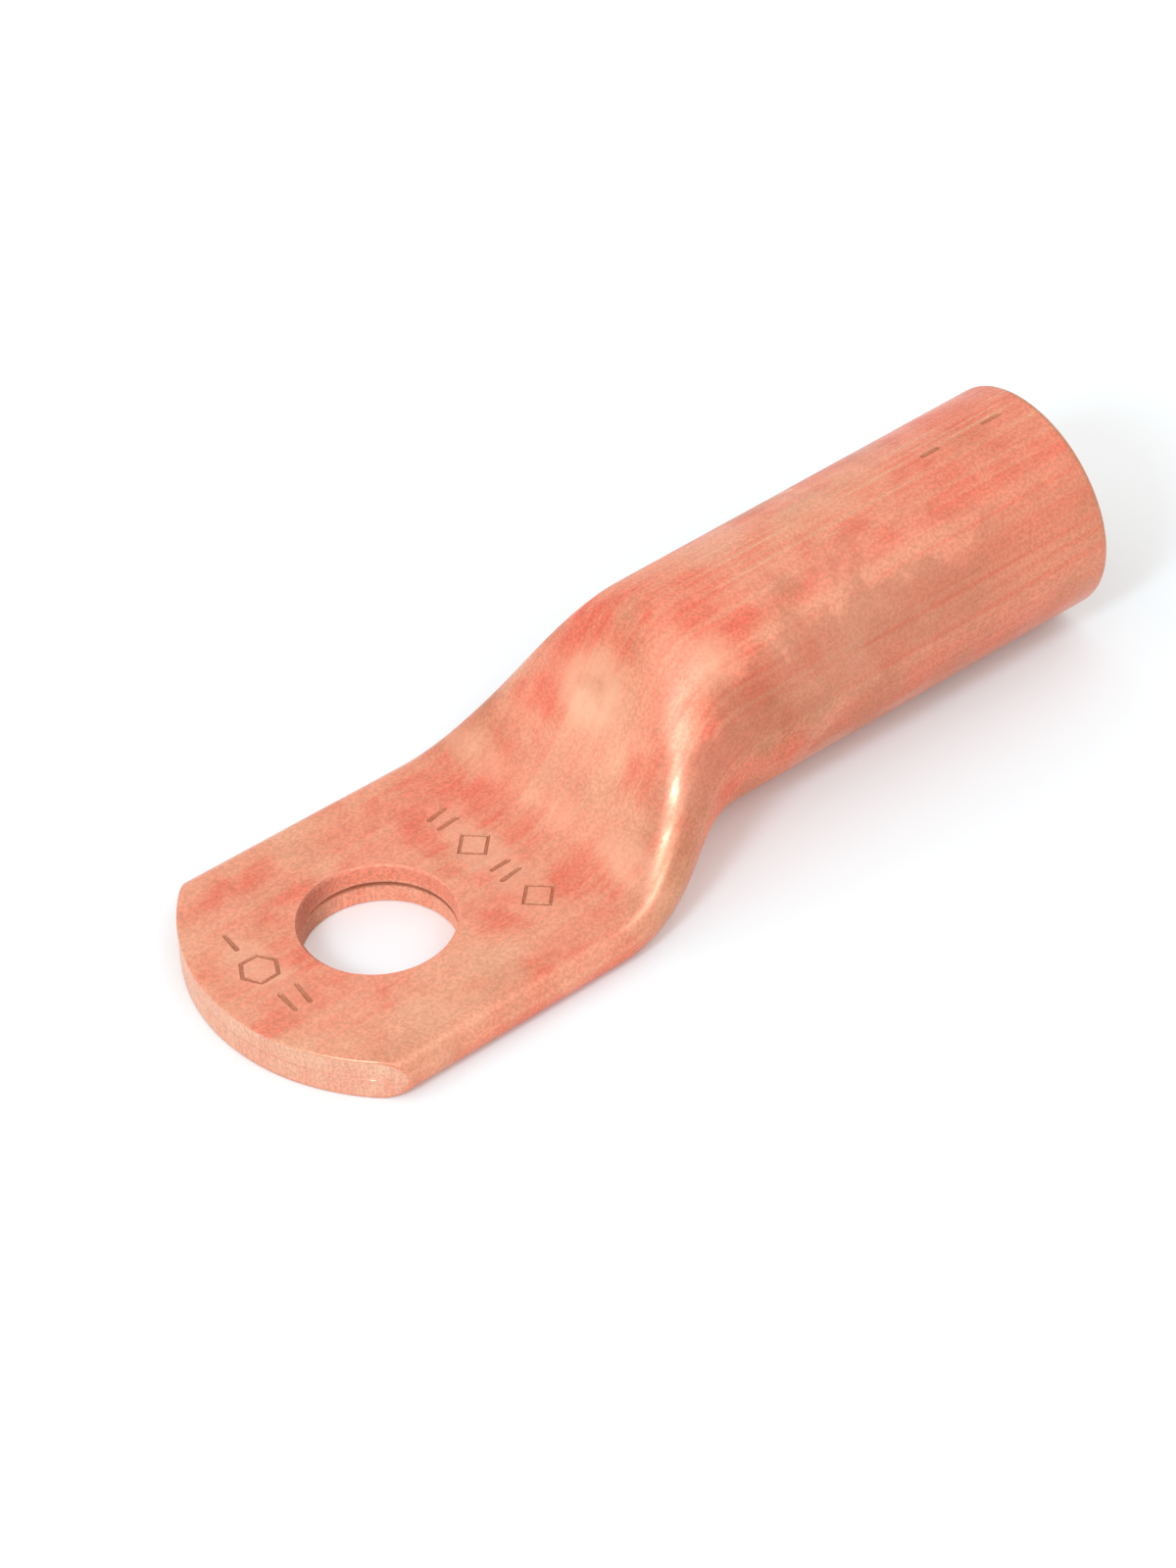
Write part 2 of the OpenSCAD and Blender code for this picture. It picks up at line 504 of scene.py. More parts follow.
def placed(name, data):
    """A new object in the scene."""
    thing = bpy.data.objects.new(name, data)
    bpy.context.scene.collection.objects.link(thing)
    return thing


lug = placed("cable_lug_body", build_skin("cable_lug_skin", patch_faces))

# %% [markdown]
# ## Stamped marks
#
# Lugs are struck with small marks before they leave the press. Here they stay plain: bars and
# outlines that say nothing. A stamp pushes a rounded stroke a tenth of a millimetre into the metal.
# A painted bump doesn't hold up at close range, so the strokes are cut out of the mesh. Each cutter
# is a round bar that lies mostly above the surface, and only its belly cuts.

# %% Stroke shapes
STROKE_R, STROKE_DEPTH = 0.21, 0.09
STROKE_SIDES, CAP_STEPS = 20, 5
BELLY = STROKE_R - STROKE_DEPTH      # how high the bar's axis lies
UP = Vector((0, 0, 1))


def stroke_ring(centre, along, radius):
    """A circle of points about an axis, as part of a stroke."""
    across = along.cross(UP).normalized()
    turns = [2 * pi * (i + 0.5) / STROKE_SIDES for i in range(STROKE_SIDES)]
    return [tuple(centre + radius * (cos(a) * UP + sin(a) * across)) for a in turns]


def bar_stroke(middle, along, length):
    """Rings of a round-ended bar over the surface point middle."""
    start, along = Vector(middle) + UP * BELLY, Vector(along).normalized()
    turns = [pi / 2 * i / CAP_STEPS for i in range(1, CAP_STEPS + 1)]
    cap = [(length / 2 + STROKE_R * cos(t), STROKE_R * sin(t)) for t in turns]
    stations = [(-s, r) for s, r in cap] + cap[::-1]
    tip = along * (length / 2 + STROKE_R)
    rings = [stroke_ring(start + along * s, along, r) for s, r in stations]
    return [[tuple(start - tip)] * STROKE_SIDES] + rings + [[tuple(start + tip)] * STROKE_SIDES]


def outline_stroke(middle, corners, radius):
    """Rings of a stroke on the palm that closes on itself, as a shape with that many corners."""
    rings = []
    for i in range(corners + 1):
        a = 2 * pi * (i % corners) / corners
        reach = Vector((cos(a), sin(a), 0))
        rings.append(stroke_ring(Vector(middle) + UP * BELLY + reach * radius, UP.cross(reach), STROKE_R))
    return rings


# %% Place the strokes
NECK_ROW, END_ROW = 9.2, -8.6        # where the two rows of marks lie along the palm
strokes = [
    bar_stroke((NECK_ROW, 5.6, palm_t), (1, 0.16, 0.03), 1.5),
    bar_stroke((NECK_ROW, 4.4, palm_t), (1, 0.08, -0.02), 1.6),
    outline_stroke((NECK_ROW, 1.6, palm_t), 4, 1.25),
    bar_stroke((NECK_ROW, -1.2, palm_t), (1, 0.05, -0.03), 1.4),
    bar_stroke((NECK_ROW, -2.4, palm_t), (1, 0.12, 0.02), 1.6),
    outline_stroke((NECK_ROW + 0.1, -5.2, palm_t), 4, 1.25),
    bar_stroke((END_ROW, 4.6, palm_t), (0.1, 1, 0.03), 1.6),
    outline_stroke((END_ROW - 0.1, 1.3, palm_t), 6, 1.35),
    bar_stroke((END_ROW + 0.7, -2.4, palm_t), (0.15, 1, 0.02), 1.9),
    bar_stroke((END_ROW - 0.6, -2.5, palm_t), (0.06, 1, -0.03), 1.8),
    bar_stroke((48.0, 0, 2 * barrel_r), (1, 0, 0), 1.4),
    bar_stroke((53.4, 0, 2 * barrel_r), (1, 0, 0), 1.4),
]
print(len(strokes), "strokes to strike")

# %% Make one cutter of them
cutter_faces = []
for rings in strokes:
    for upper, lower in zip(rings, rings[1:]):
        for i in range(STROKE_SIDES):
            j = (i + 1) % STROKE_SIDES
            quad = [upper[i], upper[j], lower[j], lower[i]]
            corners = [(p, tube_place(p[0], min(abs(p[1]), quarter_girth), p[1] < 0)) for p in quad]
            cutter_faces.append((corners, STAMPED))
cutter = placed("stamp_cutter", build_skin("stamp_strokes", cutter_faces))

# %% Strike them
FINISHES = ["drawn_copper", "sheared_copper", "stamped_copper", "bore_copper", "punched_copper"]
finishes = [bpy.data.materials.new(name) for name in FINISHES]
for holder in (lug, cutter):
    for finish in finishes:
        holder.data.materials.append(finish)
strike = lug.modifiers.new("strike", "BOOLEAN")
strike.operation = "DIFFERENCE"
strike.solver = "EXACT"
strike.object = cutter
bpy.context.view_layer.update()
struck = bpy.data.meshes.new_from_object(lug.evaluated_get(bpy.context.evaluated_depsgraph_get()))
lug.modifiers.clear()
lug.data = struck
lug.data.name = "cable_lug_struck"
bpy.data.objects.remove(cutter)
CRISP = radians(38)
lug.data.polygons.foreach_set("use_smooth", [True] * len(lug.data.polygons))
lug.data.set_sharp_from_angle(angle=CRISP)
print("after striking:", len(lug.data.polygons), "faces in", len(lug.data.materials), "finishes")

# %% [markdown]
# ## Finishes from shared effects
#
# Five finishes cover the piece: the drawn skin, the sheared cuts, the stamped strokes, the bore and
# the punched hole. They share their effects, so each effect is a node group with named inputs and
# outputs, and each finish gives it its own values. The shader itself stays in the material.

# %% Make groups and feed sockets
def make_group(name, inputs, outputs, gives="NodeSocketFloat"):
    """An empty shader node group, from {input: default} and the names of outputs, which share a kind.

    A default of None makes a vector socket. Returns the group and the sockets inside it.
    """
    group = bpy.data.node_groups.new(name, "ShaderNodeTree")
    kinds = {type(None): "NodeSocketVector", float: "NodeSocketFloat", tuple: "NodeSocketColor"}
    for label, default in inputs.items():
        socket = group.interface.new_socket(name=label, in_out="INPUT", socket_type=kinds[type(default)])
        if default is not None:
            socket.default_value = default
    for label in outputs:
        group.interface.new_socket(name=label, in_out="OUTPUT", socket_type=gives)
    return group, group.nodes.new("NodeGroupInput").outputs, group.nodes.new("NodeGroupOutput").inputs


def feed(tree, source, target):
    """Links a socket, or sets a plain value."""
    if isinstance(source, bpy.types.NodeSocket):
        tree.links.new(source, target)
    else:
        target.default_value = source


def lay_node(tree, kind, inputs=None, **settings):
    """A new node with its settings made and its inputs fed. Returns its outputs."""
    node = tree.nodes.new("ShaderNode" + kind)
    for name, value in settings.items():
        setattr(node, name, value)
    for label, source in (inputs or {}).items():
        feed(tree, source, node.inputs[label])
    return node.outputs


# %% Helpers that work on values
def math_node(tree, operation, a, b=0.0, clamp=False):
    """The outcome of one operation on one or two values."""
    return lay_node(tree, "Math", {0: a, 1: b}, operation=operation, use_clamp=clamp)[0]


def joining(operation):
    """A helper that joins any number of values with one operation, two at a time."""
    def join(tree, first, *others, clamp=False):
        for other in others:
            first = math_node(tree, operation, first, other, clamp)
        return first
    return join


plus, times, highest = (joining(operation) for operation in ("ADD", "MULTIPLY", "MAXIMUM"))
minus, divide = joining("SUBTRACT"), joining("DIVIDE")


def step(tree, value, low, high, to_low=0.0, to_high=1.0):
    """A smooth step from low to high."""
    inputs = {"Value": value, "From Min": low, "From Max": high, "To Min": to_low, "To Max": to_high}
    return lay_node(tree, "MapRange", inputs, interpolation_type="SMOOTHSTEP")[0]


# %% Helpers that work on places and colours
def stretched(tree, vector, scale, offset=(0, 0, 0), turn=0.0):
    """The vector times a scale, turned about z, plus an offset."""
    inputs = {"Vector": vector, "Scale": scale, "Rotation": (0, 0, turn), "Location": offset}
    return lay_node(tree, "Mapping", inputs)[0]


def split(tree, vector):
    """The vector's X, Y and Z."""
    return lay_node(tree, "SeparateXYZ", {0: vector})


def noise(tree, vector, scale, detail, roughness, distortion=0.0):
    """A cloudy value, 0.5 on average."""
    inputs = {"Vector": vector, "Scale": scale, "Detail": detail}
    return lay_node(tree, "TexNoise", inputs | {"Roughness": roughness, "Distortion": distortion})[0]


def blend_colour(tree, share, first, second):
    """The first colour moved towards the second by a share."""
    return lay_node(tree, "Mix", {0: share, 6: first, 7: second}, data_type="RGBA")[2]


# %% [markdown]
# ### Drawing lines
#
# A tube is pulled through a die, which scores it lengthwise: very long, very fine lines that fade
# in and out. A noise stretched hard along the tube gives them. It is read at the drawn place of
# each corner, so the lines run along the barrel, over the ramp and down the palm, with no seam.

# %% Group: drawing lines
inputs = {"Place": None, "Run": 40.0, "Pitch": 0.5}
drawing_lines, takes, gives = make_group("drawing_lines", inputs, ("Line", "Height"))
tree = drawing_lines
run_scale = divide(tree, 1.0, takes["Run"])
pitch_scale = divide(tree, 1.0, takes["Pitch"])
scale = lay_node(tree, "CombineXYZ", {0: run_scale, 1: pitch_scale, 2: pitch_scale})[0]
line_place = stretched(tree, takes["Place"], scale)
fine = noise(tree, line_place, 1.0, 3.0, 0.6)
broad = noise(tree, line_place, 0.27, 2.0, 0.5)
mixed = plus(tree, times(tree, fine, 0.6), times(tree, broad, 0.4))
feed(tree, step(tree, mixed, 0.38, 0.64), gives["Line"])
feed(tree, mixed, gives["Height"])
print("built", tree.name)

# %% [markdown]
# ### Score lines
#
# A worn die leaves a few deeper lines as well, side by side along the top of the barrel. Each one
# is a thin band in the drawn place, where across the tube is y, and a slow noise along x fades it.

# %% Group: score lines
# y, half width, where its fade is read
SCORES = ((-1.35, 0.16, 5.0), (0.30, 0.20, 23.0), (0.95, 0.12, 61.0), (1.90, 0.16, 37.0))
score_lines, takes, gives = make_group("score_lines", {"Place": None}, ("Line",))
tree = score_lines
apart = split(tree, takes["Place"])
bands = []
for across, half_width, seed in SCORES:
    off = math_node(tree, "ABSOLUTE", minus(tree, apart["Y"], across))
    fade = noise(tree, stretched(tree, takes["Place"], (0.11, 0, 0), (seed, 0, 0)), 1.0, 1.0, 0.4)
    bands.append(times(tree, step(tree, off, half_width, 0.0), step(tree, fade, 0.36, 0.56)))
on_top = step(tree, apart["Z"], 0.5 * barrel_r, 0.8 * barrel_r)
past_ramp = step(tree, apart["X"], ramp_top - 2, ramp_top + 6)
feed(tree, times(tree, highest(tree, *bands), times(tree, on_top, past_ramp)), gives["Line"])
print("built", tree.name)

# %% [markdown]
# ### Annealed mottle
#
# Annealing softens the copper and leaves it cloudy: patches of redder and paler metal a few
# millimetres wide, with a fine crystal grain inside them. Two noises of different sizes give the
# patches, and a third, much finer, gives the grain.

# %% Group: annealed mottle
inputs = {"Place": None, "Patch size": 5.0, "Grain size": 0.25}
annealed_mottle, takes, gives = make_group("annealed_mottle", inputs, ("Warm", "Pale", "Grain"))
tree = annealed_mottle
warm_place = stretched(tree, takes["Place"], (1, 1, 1), (3.1, 7.7, 1.9))
pale_place = stretched(tree, takes["Place"], (0.7, 1, 1), (31.0, 12.0, 5.0))
patch_scale = divide(tree, 1.0, takes["Patch size"])
grain_scale = divide(tree, 1.0, takes["Grain size"])
warm = noise(tree, warm_place, patch_scale, 2.5, 0.55, 0.3)
pale = noise(tree, pale_place, times(tree, patch_scale, 0.7), 2.0, 0.5, 0.2)
feed(tree, step(tree, warm, 0.40, 0.66), gives["Warm"])
feed(tree, step(tree, pale, 0.46, 0.72), gives["Pale"])
feed(tree, noise(tree, takes["Place"], grain_scale, 2.0, 0.5), gives["Grain"])
print("built", tree.name)

# %% [markdown]
# ### Handling scratches
#
# Lugs travel loose in a box, and soft copper scratches. Three thin stretched noises at crossing
# angles, cut high so that little of them is left, give short scratches in all directions.

# %% Group: handling scratches
inputs = {"Place": None, "Amount": 0.5}
handling_scratches, takes, gives = make_group("handling_scratches", inputs, ("Scratch",))
tree = handling_scratches
marks = []
for turn, seed in ((0.6, 2.0), (-0.9, 17.0), (2.3, 41.0)):
    turned = stretched(tree, takes["Place"], (1, 1, 1), (seed, seed, seed), turn)
    thin = stretched(tree, turned, (0.22, 7.0, 2.0))
    marks.append(step(tree, noise(tree, thin, 1.0, 1.0, 0.4), 0.69, 0.76))
feed(tree, times(tree, highest(tree, *marks), takes["Amount"]), gives["Scratch"])
print("built", tree.name)

# %% [markdown]
# ### Shear lines
#
# A punch or a crop tears through the wall straight down. The cut is paler than the skin, because it
# is fresh, and it carries short upright lines. They don't follow the tube, so they are read from
# the plain position, drawn out along the height.

# %% Group: shear lines
shear_lines, takes, gives = make_group("shear_lines", {"Place": None, "Pitch": 0.16}, ("Line", "Height"))
tree = shear_lines
tear = stretched(tree, takes["Place"], (1, 1, 0.10))
shear = noise(tree, tear, divide(tree, 1.0, takes["Pitch"]), 3.0, 0.6)
feed(tree, step(tree, shear, 0.35, 0.68), gives["Line"])
feed(tree, shear, gives["Height"])
print("built", tree.name)

# %% [markdown]
# ### Copper tones
#
# The colour is one group as well: a body colour, moved towards red where the metal is warm, towards
# peach where it is pale, and towards brown where it has tarnished and where painted shade darkens it.
# The drawn skin's colours are the group's own, and a cut changes those that it needs.

# %% Colours of bare copper
COPPER_BODY = (0.90, 0.340, 0.225, 1)
COPPER_RED = (0.84, 0.198, 0.128, 1)
COPPER_PEACH = (0.88, 0.460, 0.290, 1)
COPPER_BROWN = (0.52, 0.250, 0.130, 1)
# the colour of burnish and of painted highlights
COPPER_BURNISH_AND_HIGHLIGHT = (0.92, 0.50, 0.33, 1)
# painted shade: the dark colour that the barrel's sides are moved towards
COPPER_FLANK_SHADE = (0.45, 0.170, 0.100, 1)
WARM_REACH, PALE_REACH, LINE_REACH = 0.86, 0.70, 0.42     # how far each moves the colour at most
print("copper's body colour is", COPPER_BODY[:3])

# %% Group: copper tones
inputs = {
    "Warm": 0.0, "Pale": 0.0, "Line": 0.0, "Tarnish": 0.0, "Grain": 0.5,
    "Body colour": COPPER_BODY, "Red colour": COPPER_RED,
    "Peach colour": COPPER_PEACH, "Brown colour": COPPER_BROWN,
}
copper_tones, takes, gives = make_group("copper_tones", inputs, ("Colour",), "NodeSocketColor")
tree = copper_tones
tone = blend_colour(tree, times(tree, takes["Warm"], WARM_REACH), takes["Body colour"], takes["Red colour"])
tone = blend_colour(tree, times(tree, takes["Pale"], PALE_REACH), tone, takes["Peach colour"])
tone = blend_colour(tree, times(tree, takes["Line"], LINE_REACH), tone, takes["Peach colour"])
tone = blend_colour(tree, takes["Tarnish"], tone, takes["Brown colour"])
speck = step(tree, takes["Grain"], 0.3, 0.7, 0.88, 1.10)
feed(tree, lay_node(tree, "VectorMath", {0: tone, "Scale": speck}, operation="SCALE")[0], gives["Colour"])
print("built", tree.name)


# %% Place the groups in a material
def use_group(tree, group, **values):
    """Puts a group in a material. Names with _ stand for the socket's name with spaces."""
    inputs = {label.replace("_", " "): value for label, value in values.items()}
    return lay_node(tree, "Group", inputs, node_tree=group)


def start_material(finish):
    """Clears a material and returns its tree, its shader and the places that effects are read at."""
    finish.use_nodes = True
    tree = finish.node_tree
    tree.nodes.clear()
    shader = tree.nodes.new("ShaderNodeBsdfPrincipled")
    lay_node(tree, "OutputMaterial", {"Surface": shader.outputs[0]})
    shader.inputs["Metallic"].default_value = 1.0
    plain = stretched(tree, lay_node(tree, "TexCoord")["Object"], (1 / MM, 1 / MM, 1 / MM))
    drawn = lay_node(tree, "Attribute", attribute_name=PLACE)["Vector"]
    return tree, shader, plain, drawn


def add_bumps(tree, shader, *layers):
    """Bumps of (height, distance in mm, strength), each on top of the one before."""
    before = {}
    for height, distance, strength in layers:
        inputs = {"Height": height, "Distance": distance * MM, "Strength": strength, **before}
        before = {"Normal": lay_node(tree, "Bump", inputs)[0]}
    feed(tree, before["Normal"], shader.inputs["Normal"])


# %% [markdown]
# ## The drawn skin
#
# This is most of what shows: bare annealed copper, salmon to orange, semi-matte. Its roughness
# wanders with the mottle and drops a little on the drawing lines, where the die burnished it.
#
# Other changes belong to a place, and are read along the piece or from the height on the drawn
# tube. Painted highlights lighten the ramp, its shoulder and the bend at its foot, and tools burnished
# pale spots round the marks. Heat left the crown and the mouth redder, and painted shade deepens the
# mouth's red down its sides. Painted shade darkens the barrel's sides, and browner, redder painted
# shade the underside. The crown's metal stretched most, so it is rougher.

# %% Where the skin changes: start and end of each change, in mm
AT_FOOT = (ramp_foot - 2, ramp_foot + 3)          # along the piece
FLANK_START = (ramp_foot + 3, ramp_foot + 9)
FLANK_FADE = (mouth_x - 14, mouth_x - 5)
CROWN_START = (ramp_top - 7, ramp_top - 3)
CROWN_END = (ramp_top + 7, ramp_top + 2)
MOUTH_REACH = (mouth_x - 26, mouth_x - 3)
AT_LIP = (mouth_x - 0.6, mouth_x - 0.2)
MATTE_START = (ramp_foot + 7.8, ramp_foot + 9.6)
MATTE_END = (ramp_top + 6, ramp_top + 2)
RIDGE_END = (ramp_top - 3, ramp_top + 2)
# painted shade: the heights over which the underside is darkened
UNDERSIDE = (0.75 * barrel_r, -0.10 * barrel_r)   # height on the drawn tube
FLANK_TOP = (7.5, 4.5)
FLANK_FOOT = (-1.6, 2.2)
# painted shade: the mouth's red grows down its sides over these heights
MOUTH_SIDE = (8.0, 4.0)
RIDGE_LIFT, FLANK_WANDER = 1.6, 1.5               # the ramp's ridge raises the flank's border, which wanders
# Pale spots: x, y, reach along, reach across, strength. The first five are painted highlights, the last two
# are burnish round the marks.
PALE_SPOTS_AND_HIGHLIGHTS = (
    # painted highlight on the ramp's slope
    (19.6, 1.3, 2.0, 4.2, 0.78),             # the ramp, under the press's nose
    # painted highlight on the shoulder's corner
    (24.9, -5.1, 2.6, 1.9, 0.50),            # the shoulder's corner
    # painted highlights along the bend at the ramp's foot, in three spots
    (14.3, 8.0, 1.5, 5.0, 0.38),             # along the bend at the ramp's foot
    (14.6, 0.0, 1.2, 9.0, 0.18),
    (14.7, -8.2, 1.5, 5.0, 0.45),
    # burnish round the two rows of marks
    (NECK_ROW, -0.4, 2.0, 7.5, 0.38),        # round the two rows of marks
    (END_ROW + 0.1, 1.0, 1.9, 5.5, 0.55),
)
print(len(PALE_SPOTS_AND_HIGHLIGHTS), "pressed spots; the mouth's heat starts at x", round(MOUTH_REACH[0], 2), "mm")

# %% How strong each change is
# painted shade on the underside: thicker clouds, a brown and a red
LOWER_SHADE_CLOUD, LOWER_SHADE, LOWER_SHADE_RED = 0.13, 0.17, 0.24     # on the underside
CROWN_HEAT, MOUTH_HEAT = 0.35, 0.85
# how strong the painted shade on the barrel's sides is
FLANK_SHADE_STRENGTH = 0.42
# painted shade: the mouth's edge is coloured dark, as if in shade
LIP_SHADE = 0.7         # the mouth's edge is handled most, and stays dark
STRETCHED_MATTE = 0.24
LINE_SHINE, SCRATCH_MATTE = 0.05, 0.10
print("the flanks go", FLANK_SHADE_STRENGTH, "of the way to their dark colour")


# %% Shares of wear
def underside_shade_share(tree, along, height):
    """Painted shade on the underside, mostly past the ramp's foot."""
    return times(tree, step(tree, height, *UNDERSIDE), step(tree, along, *AT_FOOT, 0.3, 1.0))


def tarnish_and_shade_share(tree, plain, along, lower, most):
    """Clouds of tarnish, thickened below by painted shade, and the mouth's lip darkened with painted shade.
    """
    cloud = noise(tree, stretched(tree, plain, (0.8, 1, 1), (19.0, 14.0, 2.0)), 0.16, 3.0, 0.6)
    tarnish = step(tree, plus(tree, cloud, times(tree, lower, LOWER_SHADE_CLOUD)), 0.5, 0.8, 0.0, most)
    tarnish = times(tree, tarnish, step(tree, along, *AT_FOOT, 0.55, 1.0))
    tarnish = plus(tree, tarnish, times(tree, lower, LOWER_SHADE))
    return highest(tree, tarnish, step(tree, along, *AT_LIP, 0.0, LIP_SHADE))


def flank_shade_share(tree, plain, along, height):
    """Painted shade on the barrel's sides, below a border that wanders."""
    lift = step(tree, along, *RIDGE_END, RIDGE_LIFT, 0.0)
    wander = step(tree, noise(tree, plain, 0.30, 3.0, 0.6), 0.35, 0.65, -FLANK_WANDER, FLANK_WANDER)
    below_border = step(tree, plus(tree, height, lift, wander), *FLANK_TOP)
    above_ground = step(tree, height, *FLANK_FOOT)
    strength = step(tree, along, *FLANK_FADE, FLANK_SHADE_STRENGTH, FLANK_SHADE_STRENGTH / 3)
    return times(tree, below_border, above_ground, step(tree, along, *FLANK_START), strength)


# %% Shares of heat and pressing
def heat_and_shade_share(tree, along, height, lower):
    """The redder crown and mouth, the mouth's red deepened down its sides as painted shade, and the
    underside's red painted shade.
    """
    crown = step(tree, along, *CROWN_START, 0.0, CROWN_HEAT)
    crown = times(tree, crown, step(tree, along, *CROWN_END))
    mouth = step(tree, along, *MOUTH_REACH, 0.0, MOUTH_HEAT)
    mouth = times(tree, mouth, step(tree, height, *MOUTH_SIDE, 0.8, 1.3))
    return plus(tree, crown, mouth, times(tree, lower, LOWER_SHADE_RED))


def matte_share(tree, along):
    """How much rougher the stretched crown is."""
    crown = times(tree, step(tree, along, *MATTE_START), step(tree, along, *MATTE_END))
    return times(tree, crown, STRETCHED_MATTE)


def burnish_and_highlight_share(tree, plain, height):
    """How pale the upper side is: painted highlights on the ramp, its shoulder and the bend at its foot, and
    burnish round the marks.
    """
    spot = split(tree, plain)
    marks = []
    for x, y, reach_along, reach_across, strength in PALE_SPOTS_AND_HIGHLIGHTS:
        over = divide(tree, minus(tree, spot["X"], x), reach_along)
        aside = divide(tree, minus(tree, spot["Y"], y), reach_across)
        apart = plus(tree, times(tree, over, over), times(tree, aside, aside))
        marks.append(step(tree, apart, 1.0, 0.0, 0.0, strength))
    patchy = step(tree, noise(tree, plain, 0.45, 2.0, 0.5), 0.34, 0.58, 0.45, 1.0)
    return times(tree, highest(tree, *marks), patchy, step(tree, height, 0.0, 2.0))


# %% The skin's finish
def skin_finish(finish, tarnish_most, rough_low, rough_high):
    """The drawn skin, outside or in the bore."""
    tree, shader, plain, drawn = start_material(finish)
    lines = use_group(tree, drawing_lines, Place=drawn, Run=45.0, Pitch=0.55)
    scores = use_group(tree, score_lines, Place=drawn)
    mottle = use_group(tree, annealed_mottle, Place=plain, Patch_size=4.5, Grain_size=0.22)
    scratches = use_group(tree, handling_scratches, Place=plain, Amount=0.6)
    along, height = split(tree, plain)["X"], split(tree, drawn)["Z"]
    # painted shade on the underside
    lower = underside_shade_share(tree, along, height)
    # heat on the crown and mouth, and painted shade below
    heat_and_shade = heat_and_shade_share(tree, along, height, lower)
    tones = use_group(
        tree, copper_tones, Grain=mottle["Grain"],
        Warm=plus(tree, mottle["Warm"], heat_and_shade, clamp=True),
        Pale=times(tree, mottle["Pale"], minus(tree, 1.0, heat_and_shade, clamp=True)),
        Line=highest(tree, lines["Line"], times(tree, scores["Line"], 2.0)),
        Tarnish=tarnish_and_shade_share(tree, plain, along, lower, tarnish_most),
    )
    # painted shade on the barrel's sides
    skin = blend_colour(tree, flank_shade_share(tree, plain, along, height), tones["Colour"], COPPER_FLANK_SHADE)
    # painted highlights and burnish lighten the skin
    skin = blend_colour(tree, burnish_and_highlight_share(tree, plain, height), skin, COPPER_BURNISH_AND_HIGHLIGHT)
    feed(tree, skin, shader.inputs["Base Color"])
    rough = step(tree, mottle["Warm"], 0.0, 1.0, rough_low, rough_high)
    rough = plus(tree, rough, matte_share(tree, along))
    rough = minus(tree, rough, times(tree, lines["Line"], LINE_SHINE))
    rough = plus(tree, rough, times(tree, scratches["Scratch"], SCRATCH_MATTE), clamp=True)
    feed(tree, rough, shader.inputs["Roughness"])
    add_bumps(
        tree, shader,
        (lines["Height"], 0.02, 0.5),
        (mottle["Grain"], 0.006, 0.5),
        (mottle["Pale"], 0.03, 0.6),
        (scores["Line"], 0.03, 0.7),
        (minus(tree, 1.0, scratches["Scratch"]), 0.008, 0.6),
    )


skin_finish(finishes[DRAWN], tarnish_most=0.42, rough_low=0.36, rough_high=0.46)
skin_finish(finishes[BORE], tarnish_most=0.75, rough_low=0.46, rough_high=0.58)
print("drawn skin and bore finished")

# %% [markdown]
# ## Cuts and strokes
#
# The sheared faces are fresh metal, paler and more even, with upright lines. The stamped strokes
# were struck into the skin, and their finish is darker than the palm.
#
# The punched hole is the roughest cut. Dirt sits along its joint line, and painted shade darkens the
# side of the wall that faces away from the light, and the joint there most. Above the joint the punch
# dragged the palm's skin down, so the wall is nearer its colour.

# %% The finish of a cut
CUT_WARMTH = 0.30                      # of the skin's red patches
CUT_ROUGH_SPREAD = 0.05                # between the upright lines and the rest
# painted shade: from the hole's centre towards the side of the wall that is darkened
SHADED_SIDE = (-0.81, 0.59)             # from the hole's centre to where the dirt is left
DIRT_REACH = (0.35, 0.05)              # from the joint, in mm
SKIN_RISE = 0.5                        # how far over the joint the palm's colour is full


def joint_dirt_and_shade_share(tree, spot):
    """Dirt along the joint of the two walls, with painted shade on the side of the wall that faces away from
    the light, darker at the joint there.
    """
    off_joint = math_node(tree, "ABSOLUTE", minus(tree, spot["Z"], palm_t / 2))
    over = times(tree, spot["X"], SHADED_SIDE[0] / hole_r)
    toward_shade = plus(tree, over, times(tree, spot["Y"], SHADED_SIDE[1] / hole_r))
    by_joint = step(tree, off_joint, *DIRT_REACH, 0.0, step(tree, toward_shade, -1.0, 0.6, 0.35, 1.0))
    return highest(tree, by_joint, step(tree, toward_shade, 0.35, 0.95))


def cut_finish(finish, body, peach, rough, tarnish=0.0, brown=COPPER_BROWN, joint_dirt_and_shade=0.0, skin_share=0.0):
    """Copper cut or struck after drawing."""
    tree, shader, plain, _ = start_material(finish)
    spot = split(tree, plain)
    lines = use_group(tree, shear_lines, Place=plain, Pitch=0.18)
    mottle = use_group(tree, annealed_mottle, Place=plain, Patch_size=3.0, Grain_size=0.2)
    upper = step(tree, spot["Z"], palm_t / 2 + HOLE_SEAM, palm_t / 2 + SKIN_RISE, 0.0, skin_share)
    tones = use_group(
        tree, copper_tones, Pale=mottle["Pale"], Line=lines["Line"], Grain=mottle["Grain"],
        Warm=times(tree, mottle["Warm"], CUT_WARMTH),
        Tarnish=highest(tree, times(tree, joint_dirt_and_shade_share(tree, spot), joint_dirt_and_shade), tarnish),
        Body_colour=blend_colour(tree, upper, body, COPPER_BODY),
        Peach_colour=blend_colour(tree, upper, peach, COPPER_BODY),
        Brown_colour=brown,
    )
    feed(tree, tones["Colour"], shader.inputs["Base Color"])
    rough_limits = (rough + CUT_ROUGH_SPREAD, rough - CUT_ROUGH_SPREAD)
    feed(tree, step(tree, lines["Line"], 0.0, 1.0, *rough_limits), shader.inputs["Roughness"])
    add_bumps(tree, shader, (lines["Height"], 0.02, 0.6), (mottle["Grain"], 0.006, 0.4))


